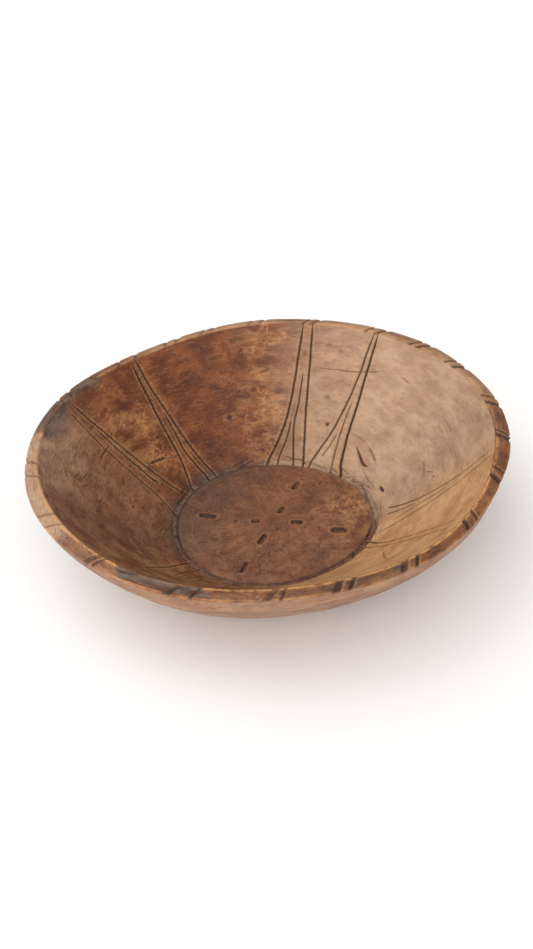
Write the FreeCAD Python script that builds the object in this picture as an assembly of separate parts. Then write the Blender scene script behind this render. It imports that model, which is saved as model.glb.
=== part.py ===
"""Wide, shallow wooden bowl carved from one block.

Millimetres, +Z up, origin on the table under the middle of the rim's outline. +X is to the right and
+Y away from the side that faces the viewer. Angles run anticlockwise from +X as seen from above.
"""

import FreeCAD
import Part
import math
import os

V = FreeCAD.Vector

# ---- driving dimensions -------------------------------------------------------------------------
HEIGHT = 80.0            # table to the top of the inner lip
RIM_R = 160.0            # outer edge of the rim
LIP_R = 151.8            # inner edge of the rim
RIM_DROP = 1.9           # the rim's top falls this much from the lip to the outer edge
EDGE_SOFT = 0.9          # worn softening of the two rim edges
BAND_H = 9.2             # height of the band cut under the rim
BAND_LEAN = 4.0          # how much the band leans in at its lower edge
BASE_R = 66.0            # flat foot
BASE_SOFT = 1.2          # worn edge of the foot
OUTER_SAG = 8.5          # how far the outer wall bulges from the straight line, square to it
FLOOR_R = 66.0           # flat floor inside
FLOOR_Z = 13.2           # its height above the table
RING_W = 5.0             # width of the sunk ring round the floor
RING_DEPTH = 1.6         # depth of the ring below the floor
INNER_SAG = 1.6          # how far the inner wall is hollowed from the straight line
FOOT_SHIFT = -1.2        # the floor's centre lies this far along X from the rim's

# Hand-cut outlines: (number of lobes, size as a share of the radius, angle of the first lobe)
OUTER_LOBES = ((2, 0.0093, 67.0), (3, 0.0088, 56.0), (4, 0.0020, -13.0), (5, 0.0045, 13.0),
               (7, 0.0035, 46.3))
INNER_LOBES = ((2, 0.0087, 80.0), (3, 0.0107, 54.0), (4, 0.0032, -13.5), (5, 0.0085, 18.0),
               (7, 0.0020, 46.3))
BASE_LOBES = ((2, 0.0051, 0.0),)
FLOOR_LOBES = ((1, 0.0142, -48.0), (3, 0.0191, 3.4), (4, 0.0022, -6.0))
BAND_LOBES = ((1, 0.13, 235.0), (5, 0.14, 31.0))     # the same for the band's height

# Notches across the rim, in pairs: (middle of the pair, spacing of the two), degrees
NOTCH_PAIRS = (
    (10.2, 3.4), (29.4, 3.5), (42.7, 2.5), (56.6, 3.2), (75.1, 2.4), (90.2, 3.0), (103.8, 2.8),
    (115.0, 3.5), (129.3, 5.6), (152.0, 4.4), (184.3, 5.8), (206.3, 4.4), (226.2, 2.2),
    (249.6, 5.0), (269.5, 2.9), (284.1, 3.3), (299.6, 3.4), (319.3, 3.7), (338.1, 3.6),
    (354.6, 2.0),
)
NOTCH_W = 2.6            # width at the top
NOTCH_DEPTH = 1.3
NOTCH_REACH = 9.5        # half length of the cutting bar, which runs past both edges of the rim
NOTCH_SLANT = -33.0      # turned this much from the radius: the outer end lies clockwise

# Chisel slots in the floor, two crossing rows: (x, y, length, width, direction in degrees)
SLOT_DEPTH = 2.4
ROW_LONG = (
    (-45.0, 10.1, 11.6, 5.0, -18.0), (-12.4, 0.2, 5.6, 4.2, -12.0),
    (15.6, -4.8, 8.2, 4.8, -16.0), (43.2, -16.8, 10.6, 6.0, -10.0),
)
ROW_CROSS = (
    (17.6, 37.8, 9.8, 4.4, 62.0), (5.9, 10.6, 8.4, 3.8, 62.0),
    (-8.3, -20.3, 11.4, 4.2, 64.0), (-21.6, -48.6, 11.4, 3.4, 69.0),
)

# Engraved fans on the inner wall. Each line runs through its points: (angle, share of the wall's
# height from the floor ring to the lip).
FANS = {
    "back_right": (
        ((55.7, 1.0), (54.6, 0.76), (53.3, 0.58), (50.8, 0.29), (48.8, 0.17), (46.2, 0.06), (43.5, 0.01)),
        ((56.8, 1.0), (56.5, 0.70), (56.7, 0.50), (57.8, 0.30), (60.0, 0.16), (63.6, 0.01)),
        ((55.0, 0.49), (54.5, 0.31), (52.8, 0.14), (50.4, 0.02)),
        ((55.7, 0.24), (56.7, 0.15), (58.6, 0.065)),
    ),
    "back": (
        ((75.0, 1.0), (73.8, 0.66), (72.6, 0.38), (70.6, 0.17), (68.5, 0.01)),
        ((77.5, 1.0), (78.2, 0.64), (79.3, 0.41), (81.2, 0.25), (85.0, 0.10), (88.8, 0.01)),
        ((75.8, 0.64), (76.0, 0.42), (76.7, 0.27), (76.1, 0.15), (74.5, 0.01)),
        ((78.2, 0.29), (79.2, 0.18), (81.2, 0.09), (83.2, 0.01)),
    ),
    "back_left": (
        ((127.8, 1.0), (127.9, 0.75), (127.2, 0.46), (126.6, 0.25), (125.0, 0.09), (123.2, 0.01)),
        ((129.0, 1.0), (131.0, 0.64), (132.7, 0.38), (134.7, 0.20), (137.5, 0.09), (140.4, 0.01)),
        ((128.6, 0.56), (129.3, 0.38), (130.3, 0.24), (129.6, 0.12), (128.3, 0.01)),
    ),
    "left": (
        ((153.5, 0.98), (152.9, 0.70), (152.0, 0.42), (150.9, 0.17), (149.2, 0.06), (147.8, 0.01)),
        ((154.0, 0.73), (154.7, 0.50), (154.6, 0.33), (155.0, 0.24), (154.3, 0.18)),
        ((155.8, 0.98), (157.7, 0.67), (159.6, 0.36), (161.3, 0.17), (163.3, 0.08), (165.8, 0.01)),
    ),
    "front_left": (
        ((229.2, 0.98), (228.2, 0.65), (226.2, 0.48), (222.5, 0.24), (215.8, 0.01)),
        ((232.5, 0.38), (228.3, 0.23), (223.8, 0.01)),
        ((236.5, 0.55), (234.3, 0.30), (231.7, 0.05)),
    ),
    "front": (
        ((250.6, 0.90), (250.4, 0.60), (249.4, 0.30), (247.2, 0.05)),
        ((253.4, 0.90), (254.2, 0.60), (257.0, 0.30), (263.0, 0.05)),
    ),
    "right_lower": (
        ((316.7, 0.92), (318.3, 0.58), (320.4, 0.31), (323.0, 0.14), (326.8, 0.01)),
        ((320.0, 0.95), (321.3, 0.64), (323.3, 0.33), (326.3, 0.14), (331.8, 0.01)),
    ),
    "right": (
        ((347.0, 0.98), (344.6, 0.67), (342.7, 0.37), (341.3, 0.18), (338.8, 0.03)),
        ((349.6, 0.98), (348.6, 0.67), (349.3, 0.48), (351.2, 0.30), (354.5, 0.15), (358.0, 0.07)),
        ((346.7, 0.56), (346.3, 0.35), (346.3, 0.22), (345.6, 0.14)),
        ((348.8, 0.29), (350.4, 0.18), (352.9, 0.06)),
    ),
}
LINE_R = 0.85            # radius of the round graver's cut
LINE_LIFT = 0.25         # its centre stands this far off the wall

OUTLINE_POINTS = 48      # through-points of one closed outline
SECTORS = 3              # faces that a closed skin is made of, side by side round the bowl


# ---- outline and profile ------------------------------------------------------------------------
def lobed(lobes, angle):
    """Outline radius at an angle, as a share of the mean radius."""
    a = math.radians(angle)
    return 1.0 + sum(k * math.cos(n * (a - math.radians(p))) for n, k, p in lobes)


def blend(first, second, share, angle):
    return (1.0 - share) * lobed(first, angle) + share * lobed(second, angle)


def ring(r, z, outlines, share, shift=0.0, sway=0.0):
    """Closed wire of mean radius r. share runs from the first of the two outlines (0) to the second
    (1). sway is how much of the band's changes in height the wire follows."""
    pts = []
    for i in range(OUTLINE_POINTS):
        angle = 360.0 * i / OUTLINE_POINTS
        rr = r * blend(*outlines, share, angle)
        a = math.radians(angle)
        drop = sway * BAND_H * (lobed(BAND_LOBES, angle) - 1.0)
        pts.append(V(shift + rr * math.cos(a), rr * math.sin(a), z - drop))
    curve = Part.BSplineCurve()
    curve.interpolate(Points=pts, PeriodicFlag=True)
    return Part.Wire([curve.toShape()])


def bowed(start, end, sag, steps):
    """Points of a profile from start to end, bowed down and outward by sag at its middle."""
    dr, dz = end[0] - start[0], end[1] - start[1]
    length = math.hypot(dr, dz)
    out = []
    for i in range(steps + 1):
        t = i / steps
        bow = 4.0 * sag * t * (1.0 - t)
        out.append((start[0] + dr * t + bow * dz / length, start[1] + dz * t - bow * dr / length, t))
    return out


def skin(rings):
    """Faces through the rings, one for each sector of the bowl. A face that closed on itself would make
    the volume, and so the weight, come out up to 3% short."""
    surface = Part.makeLoft(rings, False, len(rings) == 2).Faces[0].Surface
    start, end, low, high = surface.bounds()
    borders = [start + (end - start) * i / SECTORS for i in range(SECTORS + 1)]
    return [surface.toShape(a, b, low, high) for a, b in zip(borders[:-1], borders[1:])]


OUTSIDE = (BASE_LOBES, OUTER_LOBES)            # outlines at the foot and at the rim
INSIDE = (FLOOR_LOBES, INNER_LOBES)            # outlines at the floor and at the lip
RING_OUT = FLOOR_R + RING_W
RING_TOP = FLOOR_Z + 1.0                       # the ring's outer edge, where the wall starts
LIP_LOW = (LIP_R - EDGE_SOFT * 0.5, HEIGHT - EDGE_SOFT)
WALL = bowed((RING_OUT, RING_TOP), LIP_LOW, INNER_SAG, 4)


def wall_point(angle, height, lift):
    """Point on the inner wall; height is 0 at the floor ring and 1 at the lip."""
    dr, dz = LIP_LOW[0] - RING_OUT, LIP_LOW[1] - RING_TOP
    length = math.hypot(dr, dz)
    bow = 4.0 * INNER_SAG * height * (1.0 - height) - lift
    r = RING_OUT + dr * height + bow * dz / length
    z = RING_TOP + dz * height - bow * dr / length
    a = math.radians(angle)
    rr = r * blend(*INSIDE, height, angle)
    return V(FOOT_SHIFT * (1.0 - height) + rr * math.cos(a), rr * math.sin(a), z)


# ---- the blank: one closed skin -----------------------------------------------------------------
shoulder = (RIM_R - BAND_LEAN, HEIGHT - RIM_DROP - BAND_H)
foot = (BASE_R + BASE_SOFT, BASE_SOFT * 0.7)
outer_wall = [
    ring(r, z, OUTSIDE, t, 0.0, t * t) for r, z, t in bowed(foot, shoulder, OUTER_SAG, 5)
]
base_edge = ring(BASE_R, 0.0, OUTSIDE, 0.0)
rim_low = ring(RIM_R - 0.1, HEIGHT - RIM_DROP - EDGE_SOFT, OUTSIDE, 1.0)
rim_mid = ring(RIM_R, HEIGHT - RIM_DROP - 0.3 * EDGE_SOFT, OUTSIDE, 1.0)
rim_out = ring(RIM_R - EDGE_SOFT, HEIGHT - RIM_DROP + 0.3, OUTSIDE, 1.0)
rim_in = ring(LIP_R + EDGE_SOFT, HEIGHT, INSIDE, 1.0)
inner_wall = [
    ring(r, z, INSIDE, t, FOOT_SHIFT * (1.0 - t)) for r, z, t in WALL
]
ring_floor = ring(FLOOR_R + RING_W * 0.55, FLOOR_Z - RING_DEPTH, INSIDE, 0.0, FOOT_SHIFT)
ring_in = ring(FLOOR_R + RING_W * 0.2, FLOOR_Z - RING_DEPTH * 0.8, INSIDE, 0.0, FOOT_SHIFT)
floor_edge = ring(FLOOR_R, FLOOR_Z, INSIDE, 0.0, FOOT_SHIFT)

faces = [Part.Face(base_edge), Part.Face(floor_edge)]
faces += skin([base_edge, outer_wall[0]])
faces += skin(outer_wall)
faces += skin([outer_wall[-1], rim_low])
faces += skin([rim_low, rim_mid])
faces += skin([rim_mid, rim_out])
faces += skin([rim_out, rim_in])
faces += skin([rim_in, inner_wall[-1]])
faces += skin(inner_wall)
faces += skin([inner_wall[0], ring_floor])
faces += skin([ring_floor, ring_in])
faces += skin([ring_in, floor_edge])
shell = Part.makeShell(faces)
shell.sewShape()
bowl = Part.makeSolid(shell)
if bowl.Volume < 0:
    bowl.reverse()


# ---- carving ------------------------------------------------------------------------------------
def notch(angle):
    """Three-sided bar laid across the rim, point down."""
    point = V(-NOTCH_REACH, 0.0, -NOTCH_DEPTH)
    left = V(-NOTCH_REACH, NOTCH_W, NOTCH_DEPTH)
    right = V(-NOTCH_REACH, -NOTCH_W, NOTCH_DEPTH)
    bar = Part.Face(Part.makePolygon([point, left, right, point])).extrude(V(2.0 * NOTCH_REACH, 0.0, 0.0))
    fall = math.degrees(math.atan2(RIM_DROP, RIM_R - LIP_R))
    bar.rotate(V(0, 0, 0), V(0, 1, 0), fall)
    bar.rotate(V(0, 0, 0), V(0, 0, 1), angle + NOTCH_SLANT)
    mid = (RIM_R * lobed(OUTER_LOBES, angle) + LIP_R * lobed(INNER_LOBES, angle)) / 2.0
    a = math.radians(angle)
    bar.translate(V(mid * math.cos(a), mid * math.sin(a), HEIGHT - RIM_DROP / 2.0))
    return bar


def slot(x, y, length, width, direction):
    """Chisel slot with one steep end and one that slopes up to the floor."""
    deep = SLOT_DEPTH
    side = Part.Face(Part.makePolygon([
        V(-length / 2.0, 0, 1.0), V(-length / 2.0, 0, -deep * 0.8), V(length * 0.15, 0, -deep),
        V(length / 2.0, 0, 0.0), V(length / 2.0, 0, 1.0), V(-length / 2.0, 0, 1.0),
    ])).extrude(V(0, width, 0))
    side.translate(V(0, -width / 2.0, 0))
    side.rotate(V(0, 0, 0), V(0, 0, 1), direction)
    side.translate(V(x, y, FLOOR_Z))
    return side


def line(places):
    """Round groove that follows the wall through the given places."""
    pts = [wall_point(angle, h, LINE_LIFT) for angle, h in places]
    curve = Part.BSplineCurve()
    curve.interpolate(pts)
    spine = Part.Wire([curve.toShape()])
    start = curve.value(curve.FirstParameter)
    along = curve.tangent(curve.FirstParameter)[0]
    hoop = Part.Wire([Part.Circle(start, along, LINE_R).toShape()])
    return spine.makePipeShell([hoop], True, True)


cutters = []
for middle, spacing in NOTCH_PAIRS:
    cutters.append(notch(middle - spacing / 2.0))
    cutters.append(notch(middle + spacing / 2.0))
for row in (ROW_LONG, ROW_CROSS):
    for spec in row:
        cutters.append(slot(*spec))
bowl = bowl.cut(cutters)
for name in FANS:
    for places in FANS[name]:
        bowl = bowl.cut(line(places))

if bowl.ShapeType != "Solid":
    bowl = max(bowl.Solids, key=lambda s: s.Volume)

# The middle of the outline's box goes to the origin.
xs, ys = [], []
for i in range(1440):
    a = math.radians(i / 4.0)
    rr = RIM_R * lobed(OUTER_LOBES, i / 4.0)
    xs.append(rr * math.cos(a))
    ys.append(rr * math.sin(a))
bowl.translate(V(-(min(xs) + max(xs)) / 2.0, -(min(ys) + max(ys)) / 2.0, 0.0))

os.makedirs("parts", exist_ok=True)
bowl.exportStep("parts/carved_bowl.step")
print("valid", bowl.isValid(), "volume_cm3", round(bowl.Volume / 1000.0, 1), "faces", len(bowl.Faces))
print("middle of the outline", round((min(xs) + max(xs)) / 2.0, 3),
      round((min(ys) + max(ys)) / 2.0, 3))
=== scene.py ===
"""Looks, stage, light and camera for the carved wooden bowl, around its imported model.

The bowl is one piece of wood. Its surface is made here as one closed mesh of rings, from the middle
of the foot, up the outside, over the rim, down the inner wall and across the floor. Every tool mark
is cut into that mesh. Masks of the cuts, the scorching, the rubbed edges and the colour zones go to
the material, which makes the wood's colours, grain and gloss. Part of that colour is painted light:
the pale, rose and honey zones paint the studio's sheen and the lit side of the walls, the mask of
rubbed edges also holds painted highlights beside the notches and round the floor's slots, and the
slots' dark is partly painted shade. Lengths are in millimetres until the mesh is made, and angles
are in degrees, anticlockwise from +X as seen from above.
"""

import math
from types import SimpleNamespace

import bpy
import numpy as np
from mathutils import Matrix, Vector


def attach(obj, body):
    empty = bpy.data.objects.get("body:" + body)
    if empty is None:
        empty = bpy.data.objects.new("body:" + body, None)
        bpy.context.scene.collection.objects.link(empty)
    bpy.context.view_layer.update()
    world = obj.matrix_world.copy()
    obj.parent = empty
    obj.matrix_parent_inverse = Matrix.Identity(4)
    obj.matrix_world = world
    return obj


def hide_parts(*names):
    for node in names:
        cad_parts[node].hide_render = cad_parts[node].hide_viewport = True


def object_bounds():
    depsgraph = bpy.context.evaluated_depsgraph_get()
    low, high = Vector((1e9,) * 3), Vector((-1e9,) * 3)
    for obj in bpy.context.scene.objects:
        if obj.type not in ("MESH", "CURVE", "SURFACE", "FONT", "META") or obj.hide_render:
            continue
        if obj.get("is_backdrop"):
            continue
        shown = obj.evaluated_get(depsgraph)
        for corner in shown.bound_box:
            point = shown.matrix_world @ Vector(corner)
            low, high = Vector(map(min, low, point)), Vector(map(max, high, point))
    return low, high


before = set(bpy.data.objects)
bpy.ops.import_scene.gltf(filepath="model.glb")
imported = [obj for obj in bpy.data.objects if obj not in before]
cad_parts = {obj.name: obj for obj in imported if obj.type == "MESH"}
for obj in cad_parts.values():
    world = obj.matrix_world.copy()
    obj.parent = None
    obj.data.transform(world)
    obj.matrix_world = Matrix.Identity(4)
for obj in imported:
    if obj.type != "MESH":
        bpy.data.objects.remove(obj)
cad_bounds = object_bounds()

MM = 0.001
TURN = 360.0
RAD = math.pi / 180.0

# ---- the bowl's driving dimensions, as in the CAD model -------------------------------------------
HEIGHT = 80.0
RIM_R, LIP_R = 160.0, 151.8
RIM_DROP = 1.9
BAND_H, BAND_LEAN = 9.2, 4.0
BASE_R, BASE_SOFT = 66.0, 1.2
OUTER_SAG, INNER_SAG = 8.5, 1.6
FLOOR_R, FLOOR_Z = 66.0, 13.2
RING_W, RING_DEPTH = 5.0, 1.6
FOOT_SHIFT = -1.2
OUTER_LOBES = ((2, 0.0093, 67.0), (3, 0.0088, 56.0), (4, 0.0020, -13.0), (5, 0.0045, 13.0),
               (7, 0.0035, 46.3))
INNER_LOBES = ((2, 0.0087, 80.0), (3, 0.0107, 54.0), (4, 0.0032, -13.5), (5, 0.0085, 18.0),
               (7, 0.0020, 46.3))
BASE_LOBES = ((2, 0.0051, 0.0),)
FLOOR_LOBES = ((1, 0.0142, -48.0), (3, 0.0191, 3.4), (4, 0.0022, -6.0))
BAND_LOBES = ((1, 0.13, 235.0), (5, 0.14, 31.0))

# ---- decoration -----------------------------------------------------------------------------------
# Pairs of burnt notches across the rim: middle of the pair, spacing, how dark (0 to 1). The first of
# a pair is wide and the second narrow.
NOTCH_PAIRS = (
    (10.2, 3.4, 0.80), (29.4, 3.5, 0.80), (42.7, 2.5, 0.80), (56.6, 3.2, 0.75), (75.1, 2.4, 0.55),
    (90.2, 3.0, 0.40), (103.8, 2.8, 0.30), (115.0, 3.5, 0.40), (129.3, 5.6, 0.45),
    (152.0, 4.4, 0.45), (184.3, 5.8, 0.45), (206.3, 4.4, 0.38), (226.2, 2.2, 0.60),
    (249.6, 5.0, 0.80), (269.5, 2.9, 0.60), (284.1, 3.3, 0.85), (299.6, 3.4, 0.85),
    (319.3, 3.7, 0.90), (338.1, 3.6, 0.90), (354.6, 2.0, 0.85),
)
NOTCH_SLANT = -33.0
NOTCH_HALVES, NOTCH_DEPTH = (2.35, 1.35), 1.35

# Chisel slots in the floor: x, y, length, width, direction.
SLOTS = (
    (-45.0, 10.1, 11.6, 5.0, -18.0), (-12.4, 0.2, 5.6, 4.2, -12.0),
    (15.6, -4.8, 8.2, 4.8, -16.0), (43.2, -16.8, 10.6, 6.0, -10.0),
    (17.6, 37.8, 9.8, 4.4, 62.0), (5.9, 10.6, 8.4, 3.8, 62.0),
    (-8.3, -20.3, 11.4, 4.2, 64.0), (-21.6, -48.6, 11.4, 3.4, 69.0),
)
SLOT_DEPTH = 2.0

# Engraved fans on the inner wall. Each line: half width at its upper and at its lower end, how dark,
# and its places (angle, share of the wall's height).
FAN_LINES = (
    # back right
    (0.80, 1.25, 1.0, ((55.7, 1.0), (54.6, 0.76), (53.3, 0.58), (50.8, 0.29), (48.8, 0.17), (46.2, 0.06),
                       (43.5, 0.01))),
    (0.75, 0.80, 0.85, ((56.8, 1.0), (56.5, 0.70), (56.7, 0.50), (57.8, 0.30), (60.0, 0.16), (63.6, 0.01))),
    (0.50, 0.85, 0.60, ((55.0, 0.49), (54.5, 0.31), (52.8, 0.14), (50.4, 0.02))),
    (0.50, 0.70, 0.55, ((55.7, 0.24), (56.7, 0.15), (58.6, 0.065))),
    # back
    (0.80, 0.85, 0.90, ((75.0, 1.0), (73.8, 0.66), (72.6, 0.38), (70.6, 0.17), (68.5, 0.01))),
    (0.80, 0.85, 0.90, ((77.5, 1.0), (78.2, 0.64), (79.3, 0.41), (81.2, 0.25), (85.0, 0.10), (88.8, 0.01))),
    (0.55, 0.80, 0.80, ((75.8, 0.64), (76.0, 0.42), (76.7, 0.27), (76.1, 0.15), (74.5, 0.01))),
    (0.50, 0.75, 0.75, ((78.2, 0.29), (79.2, 0.18), (81.2, 0.09), (83.2, 0.01))),
    # back left
    (0.90, 0.72, 0.80, ((127.8, 1.0), (127.9, 0.75), (127.2, 0.46), (126.6, 0.25), (125.0, 0.09),
                        (123.2, 0.01))),
    (0.88, 0.75, 0.84, ((129.0, 1.0), (131.0, 0.64), (132.7, 0.38), (134.7, 0.20), (137.5, 0.09),
                        (140.4, 0.01))),
    (0.62, 0.95, 0.84, ((128.6, 0.56), (129.3, 0.38), (130.3, 0.24), (129.6, 0.12), (128.3, 0.01))),
    # left
    (0.85, 0.65, 0.85, ((153.5, 0.98), (152.9, 0.70), (152.0, 0.42), (150.9, 0.17), (149.2, 0.06),
                        (147.8, 0.01))),
    (0.65, 1.00, 0.95, ((154.0, 0.73), (154.7, 0.50), (154.6, 0.33), (155.0, 0.24), (154.3, 0.18))),
    (0.60, 0.85, 0.80, ((155.8, 0.98), (157.7, 0.67), (159.6, 0.36), (161.3, 0.17), (163.3, 0.08),
                        (165.8, 0.01))),
    # front left
    (0.70, 0.75, 0.75, ((229.2, 0.98), (228.2, 0.65), (226.2, 0.48), (222.5, 0.24), (215.8, 0.01))),
    (0.50, 0.60, 0.60, ((232.5, 0.38), (228.3, 0.23), (223.8, 0.01))),
    (0.50, 0.60, 0.55, ((236.5, 0.55), (234.3, 0.30), (231.7, 0.05))),
    # front
    (0.60, 0.60, 0.55, ((250.6, 0.90), (250.4, 0.60), (249.4, 0.30), (247.2, 0.05))),
    (0.60, 0.60, 0.55, ((253.4, 0.90), (254.2, 0.60), (257.0, 0.30), (263.0, 0.05))),
    # right, lower
    (0.55, 0.70, 0.72, ((316.7, 0.92), (318.3, 0.58), (320.4, 0.31), (323.0, 0.14), (326.8, 0.01))),
    (0.55, 0.90, 0.80, ((320.0, 0.95), (321.3, 0.64), (323.3, 0.33), (326.3, 0.14), (331.8, 0.01))),
    # right
    (0.62, 0.75, 0.82, ((347.0, 0.98), (344.6, 0.67), (342.7, 0.37), (341.3, 0.18), (338.8, 0.03))),
    (0.62, 0.80, 0.85, ((349.6, 0.98), (348.6, 0.67), (349.3, 0.48), (351.2, 0.30), (354.5, 0.15),
                        (358.0, 0.07))),
    (0.52, 0.70, 0.75, ((346.7, 0.56), (346.3, 0.35), (346.3, 0.22), (345.6, 0.14))),
    (0.52, 0.70, 0.75, ((348.8, 0.29), (350.4, 0.18), (352.9, 0.06))),
)
LINE_DEPTH = 0.62

# Knife slips, dents and scratches on the inner wall: half width, depth, how dark, and places.
WALL_MARKS = (
    (0.45, 0.15, 0.50, ((38.3, 0.748), (42.3, 0.762))),
    (0.45, 0.20, 0.60, ((48.3, 0.762), (51.7, 0.732), (54.2, 0.720), (58.3, 0.696), (65.0, 0.685),
                        (71.7, 0.679))),
    (1.00, 0.30, 0.50, ((28.8, 0.176), (37.5, 0.238))),
    (0.40, 0.10, 0.35, ((39.2, 0.256), (48.3, 0.282))),
    (1.20, 0.80, 0.90, ((31.3, 0.119), (34.2, 0.119), (37.5, 0.143), (42.9, 0.200))),
    (0.40, 0.12, 0.40, ((15.0, 0.042), (25.0, 0.054), (33.3, 0.089))),
    (1.30, 0.90, 0.95, ((10.8, 0.077), (15.4, 0.077))),
    (1.30, 0.90, 0.90, ((61.5, 0.292), (61.9, 0.300))),
    (0.90, 0.15, 0.35, ((2.0, 0.380), (9.0, 0.415))),
    (0.45, 0.15, 0.45, ((0.0, 0.458), (3.3, 0.405))),
    (0.80, 0.10, 0.20, ((0.0, 0.620), (8.0, 0.620))),
    (0.80, 0.10, 0.20, ((11.0, 0.690), (18.0, 0.690))),
    (0.70, 0.10, 0.18, ((12.5, 0.630), (18.0, 0.630))),
    (1.70, 0.15, 0.35, ((64.2, 0.480), (65.8, 0.480))),
    (1.60, 0.10, 0.28, ((68.4, 0.850), (69.6, 0.850))),
    (1.60, 0.10, 0.25, ((64.4, 0.820), (65.6, 0.820))),
    (1.50, 0.10, 0.40, ((86.0, 0.152), (87.4, 0.152))),
    (1.70, 0.20, 0.55, ((103.8, 0.350), (105.4, 0.350))),
    (1.60, 0.10, 0.35, ((92.6, 0.520), (94.0, 0.520))),
    (1.90, 0.10, 0.30, ((94.0, 0.905), (99.0, 0.895))),
    (1.90, 0.10, 0.30, ((101.5, 0.800), (106.0, 0.800))),
    (0.55, 0.30, 0.70, ((150.4, 0.640), (152.5, 0.620))),
    (0.60, 0.30, 0.70, ((155.0, 0.590), (164.6, 0.590))),
    (1.10, 0.60, 0.80, ((140.4, 0.268), (149.2, 0.310))),
    (0.50, 0.20, 0.40, ((132.9, 0.226), (140.4, 0.256))),
    (0.55, 0.30, 0.70, ((175.4, 0.685), (179.6, 0.720))),
    (0.55, 0.30, 0.70, ((173.8, 0.637), (177.5, 0.655))),
    (0.60, 0.30, 0.65, ((178.8, 0.613), (182.0, 0.655))),
    (0.60, 0.30, 0.75, ((183.3, 0.506), (185.4, 0.536), (187.0, 0.524))),
    (0.55, 0.30, 0.60, ((184.2, 0.550), (186.7, 0.560))),
    (0.90, 0.30, 0.60, ((177.5, 0.286), (180.0, 0.286))),
    (0.55, 0.30, 0.60, ((184.2, 0.060), (190.0, 0.095))),
    (0.60, 0.20, 0.45, ((305.0, 0.583), (306.7, 0.500), (310.4, 0.405), (315.4, 0.310))),
    (0.50, 0.20, 0.50, ((238.6, 0.400), (237.2, 0.250), (236.0, 0.120))),
    (0.80, 0.20, 0.35, ((350.0, 0.740), (352.0, 0.740))),
    (0.60, 0.20, 0.40, ((357.2, 0.450), (358.8, 0.450))),
)

# Small marks on the floor: points (x, y), half width, depth, how dark.
FLOOR_MARKS = (
    (((-25.9, 4.2), (-25.4, 1.0)), 0.9, 0.5, 0.7),
    (((35.4, 41.2), (34.0, 36.4)), 1.0, 0.5, 0.7),
    (((31.4, 38.0), (28.6, 35.6)), 0.7, 0.3, 0.6),
    (((39.4, 39.6), (38.8, 37.4)), 0.7, 0.3, 0.5),
    (((2.4, -9.0), (1.0, -12.8), (4.4, -9.2)), 0.7, 0.4, 0.6),
    (((-3.6, -32.8), (-4.4, -36.6)), 0.7, 0.3, 0.5),
    (((-11.2, -46.0), (-11.6, -57.5)), 0.6, 0.5, 0.7),
    (((-14.6, -48.0), (-11.4, -52.0)), 0.5, 0.4, 0.6),
    (((47.6, -32.0), (48.6, -32.6)), 1.0, 0.6, 0.8),
)

# How many points a full ring has, and where they are closer together.
RING_POINTS = 1920
FAN_MIDDLES = (54.0, 77.0, 130.0, 155.0, 227.0, 252.0, 321.0, 347.0)


# ---- small numeric tools --------------------------------------------------------------------------
def ease(x, low, high):
    """0 below low, 1 above high, and a smooth step between."""
    t = np.clip((x - low) / (high - low), 0.0, 1.0)
    return t * t * (3.0 - 2.0 * t)


def bump(x, middle, width):
    return np.exp(-((x - middle) / width) ** 2)


def turned(angle):
    """An angle, or a difference of two, brought to -180 to 180."""
    return (angle + 180.0) % TURN - 180.0


def arc_mask(theta, start, end, soft):
    """1 inside the arc from start to end, with soft edges."""
    middle, half = (start + end) / 2.0, (end - start) / 2.0
    return 1.0 - ease(np.abs(turned(theta - middle)), half - soft / 2.0, half + soft / 2.0)


def chance(i, j, k, seed):
    """A fixed random number from 0 to 1 for each whole-number place."""
    mask = np.int64(0xFFFFFFFF)
    h = (i * 374761393 + j * 668265263 + k * 1442695041 + seed * 974634777) & mask
    h = ((h ^ (h >> 13)) * 1274126177) & mask
    h = ((h ^ (h >> 16)) * 2246822519) & mask
    return ((h >> 7) & 0xFFFFFF) / float(0x1000000)


def noise(p, size, seed):
    """Smooth noise from -1 to 1 over points p, with features of about the given size."""
    q = p / size
    cell = np.floor(q).astype(np.int64)
    f = q - cell
    f = f * f * (3.0 - 2.0 * f)
    total = np.zeros(len(p))
    for a in (0, 1):
        for b in (0, 1):
            for c in (0, 1):
                share = np.ones(len(p))
                for axis, side in enumerate((a, b, c)):
                    share = share * (f[:, axis] if side else 1.0 - f[:, axis])
                total += share * chance(cell[:, 0] + a, cell[:, 1] + b, cell[:, 2] + c, seed)
    return total * 2.0 - 1.0


def fractal(p, size, seed, octaves=3):
    """Noise with finer and fainter noise on top of it."""
    total, scale = np.zeros(len(p)), 0.0
    for k in range(octaves):
        total += noise(p, size / 2.0**k, seed + 17 * k) * 0.55**k
        scale += 0.55**k
    return total / scale


def tool_cells(theta, r, v, long, tall, seed, r_of):
    """Staggered tool marks. Returns the distance from the middle of the nearest one, where 1 is about
    its edge, and a random number for each mark. r_of gives a row's radius from its place v."""
    nearest = np.full(len(theta), 9.0)
    random = np.zeros(len(theta))
    row = np.floor(v / tall).astype(np.int64)
    for dj in (-1, 0, 1):
        j = row + dj
        count = np.maximum(np.round(2.0 * math.pi * r_of((j + 0.5) * tall) / long), 3).astype(np.int64)
        column = np.floor(theta / TURN * count).astype(np.int64)
        for di in (-1, 0, 1):
            i = (column + di) % count
            across = (i + 0.5 + 0.8 * (chance(i, j, 0, seed) - 0.5)) / count * TURN
            down = (j + 0.5 + 0.8 * (chance(i, j, 1, seed) - 0.5)) * tall
            d = np.hypot(turned(theta - across) * RAD * r / long, (v - down) / tall)
            closer = d < nearest
            nearest = np.where(closer, d, nearest)
            random = np.where(closer, chance(i, j, 2, seed), random)
    return nearest, random


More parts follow.
